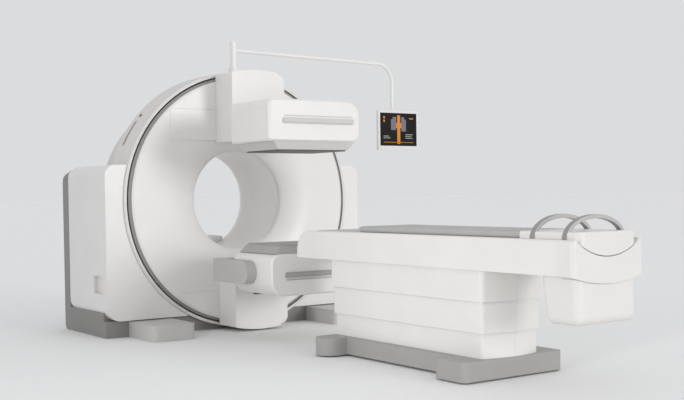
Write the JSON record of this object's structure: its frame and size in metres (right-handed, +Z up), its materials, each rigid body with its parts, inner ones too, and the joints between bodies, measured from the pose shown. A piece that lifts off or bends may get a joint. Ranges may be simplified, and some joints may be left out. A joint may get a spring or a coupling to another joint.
{
  "type": "hybrid nuclear and x-ray body scanner with patient table",
  "caption": "Medical body scanner: rotating ring with detector heads before a short tunnel, side towers, monitor boom and lifting patient table with sliding pallet.",
  "frame": {"origin": "on the floor, at the centre of the gantry's four anchor holes, under the bore's axis in the plane of the rotor's front face", "axes": "+X to the right seen from the patient table, +Y from the table into the bore, +Z up"},
  "size_m": [2.8208, 4.1364, 2.061],
  "materials": {
    "plinth_grey": "satin dark grey paint",
    "base_grey": "satin mid grey paint",
    "cover_white": "satin warm white paint on moulded covers",
    "back_grey": "satin dark grey paint",
    "housing_grey": "satin light grey paint",
    "drum_grey": "satin light grey paint",
    "dark_lens": "gloss dark lens",
    "tunnel_white": "half-gloss moulded liner",
    "machined_aluminium": "machined",
    "machine_steel": "ground and oiled",
    "motor_grey": "satin dark grey paint",
    "foot_rubber": "matt",
    "table_white": "satin warm white paint",
    "rotor_white": "satin warm white paint",
    "rim_grey": "satin grey paint",
    "arm_grey": "satin grey paint",
    "head_white": "satin warm white paint",
    "collimator_light": "satin light grey paint",
    "collimator_grey": "satin grey paint",
    "touch_black": "matt dark film",
    "bumper_grey": "matt light grey",
    "crystal": "clear scintillation crystal",
    "tube_glass": "silvered glass",
    "boom_white": "satin white paint",
    "monitor_white": "fine matt plastic",
    "screen_black": "lit display under clear glass",
    "chrome_rod": "ground and hard chromed",
    "pallet_grey": "satin moulded shell",
    "mattress_grey": "soft grey upholstery, fine grain",
    "hoop_grey": "satin grey plastic"
  },
  "bodies": {
    "gantry": {"plinth": "plinth_grey", "outrigger_feet": "base_grey", "left_tower_cover": "cover_white", "right_tower_cover": "cover_white", "rear_cover": "back_grey", "ct_housing": "housing_grey", "tunnel_flare": "tunnel_white", "drum_cover": "drum_grey", "drum_slot_trim": "drum_grey", "status_lens": "dark_lens", "tunnel_liner": "tunnel_white", "stator_plate": "machined_aluminium", "bearing_outer_race": "machine_steel", "drive_motor": "motor_grey", "boom_socket": "cover_white", "table_base": "base_grey", "table_feet": "foot_rubber", "column_lower_cover": "table_white", "lift_tubes": "machine_steel"},
    "rotor": {"rotor_cover": "rotor_white", "rotor_rim": "rim_grey", "rotor_frame": "machined_aluminium", "ring_gear": "machine_steel", "bearing_inner_race": "machine_steel", "flank_panels": "rotor_white", "upper_mount_cover": "cover_white", "lower_mount_cover": "cover_white", "guide_rails": "machine_steel"},
    "pinion": {"drive_pinion": "machine_steel"},
    "upper_carriage": {"upper_carriage": "arm_grey"},
    "lower_carriage": {"lower_carriage": "arm_grey"},
    "upper_head": {"upper_head_shell": "head_white", "upper_collimator": "collimator_light", "upper_touch_plate": "touch_black", "upper_bumper": "bumper_grey", "upper_crystal": "crystal", "upper_tube_array": "tube_glass"},
    "lower_head": {"lower_head_shell": "head_white", "lower_collimator": "collimator_grey", "lower_touch_plate": "touch_black", "lower_bumper": "bumper_grey", "lower_crystal": "crystal", "lower_tube_array": "tube_glass"},
    "ct_rotor": {"ct_rotor": "machined_aluminium", "xray_tube": "motor_grey", "ct_detector": "motor_grey"},
    "boom": {"boom": "boom_white"},
    "yoke": {"monitor_yoke": "boom_white"},
    "monitor": {"monitor_housing": "monitor_white", "monitor_screen": "screen_black"},
    "column_middle": {"column_middle_cover": "table_white"},
    "lift": {"column_upper_cover": "table_white", "table_frame": "table_white", "table_end_cap": "table_white", "control_box": "table_white", "lift_rods": "chrome_rod"},
    "pallet": {"pallet": "pallet_grey", "pallet_end": "table_white", "mattress": "mattress_grey", "hoops": "hoop_grey"}
  },
  "joints": [
    {"name": "rotor_spin", "type": "hinge", "parent": "gantry", "child": "rotor", "pos_m": [0, 0.1, 0.91], "axis": [0, 1, 0], "range_deg": [-180, 180]},
    {"name": "pinion_spin", "type": "hinge", "parent": "gantry", "child": "pinion", "pos_m": [-0.55154, 0.155, 0.35846], "axis": [0, 1, 0], "range_deg": [-1600, 1600]},
    {"name": "upper_head_travel", "type": "slide", "parent": "rotor", "child": "upper_carriage", "axis": [0, 0, -1], "range_m": [-0.03, 0.12]},
    {"name": "lower_head_travel", "type": "slide", "parent": "rotor", "child": "lower_carriage", "axis": [0, 0, 1], "range_m": [-0.06, 0.09]},
    {"name": "upper_head_tilt", "type": "hinge", "parent": "upper_carriage", "child": "upper_head", "pos_m": [0.38, -0.684, 1.4], "axis": [1, 0, 0], "range_deg": [-12, 12]},
    {"name": "lower_head_tilt", "type": "hinge", "parent": "lower_carriage", "child": "lower_head", "pos_m": [-0.38, -0.684, 0.45], "axis": [1, 0, 0], "range_deg": [-12, 12]},
    {"name": "ct_rotor_spin", "type": "hinge", "parent": "gantry", "child": "ct_rotor", "pos_m": [0, 0.5, 0.91], "axis": [0, 1, 0], "continuous": true},
    {"name": "boom_swivel", "type": "hinge", "parent": "gantry", "child": "boom", "pos_m": [0.02, 0.15, 1.9], "axis": [0, 0, 1], "range_deg": [-100, 20]},
    {"name": "monitor_swivel", "type": "hinge", "parent": "boom", "child": "yoke", "pos_m": [1.58329, 0.29502, 1.571], "axis": [0, 0, 1], "range_deg": [-90, 90]},
    {"name": "monitor_tilt", "type": "hinge", "parent": "yoke", "child": "monitor", "pos_m": [1.58329, 0.27302, 1.553], "axis": [1, 0, 0], "range_deg": [-15, 15]},
    {"name": "table_lift", "type": "slide", "parent": "gantry", "child": "lift", "axis": [0, 0, 1], "range_m": [-0.14, 0.125]},
    {"name": "column_middle_slide", "type": "slide", "parent": "gantry", "child": "column_middle", "axis": [0, 0, 1], "range_m": [-0.07, 0.0625]},
    {"name": "pallet_slide", "type": "slide", "parent": "lift", "child": "pallet", "axis": [0, 1, 0], "range_m": [0, 1.6]}
  ],
  "couplings": [
    {"joint": "pinion_spin", "follows": "rotor_spin", "ratio": -8.75},
    {"joint": "column_middle_slide", "follows": "table_lift", "ratio": 0.5}
  ]
}
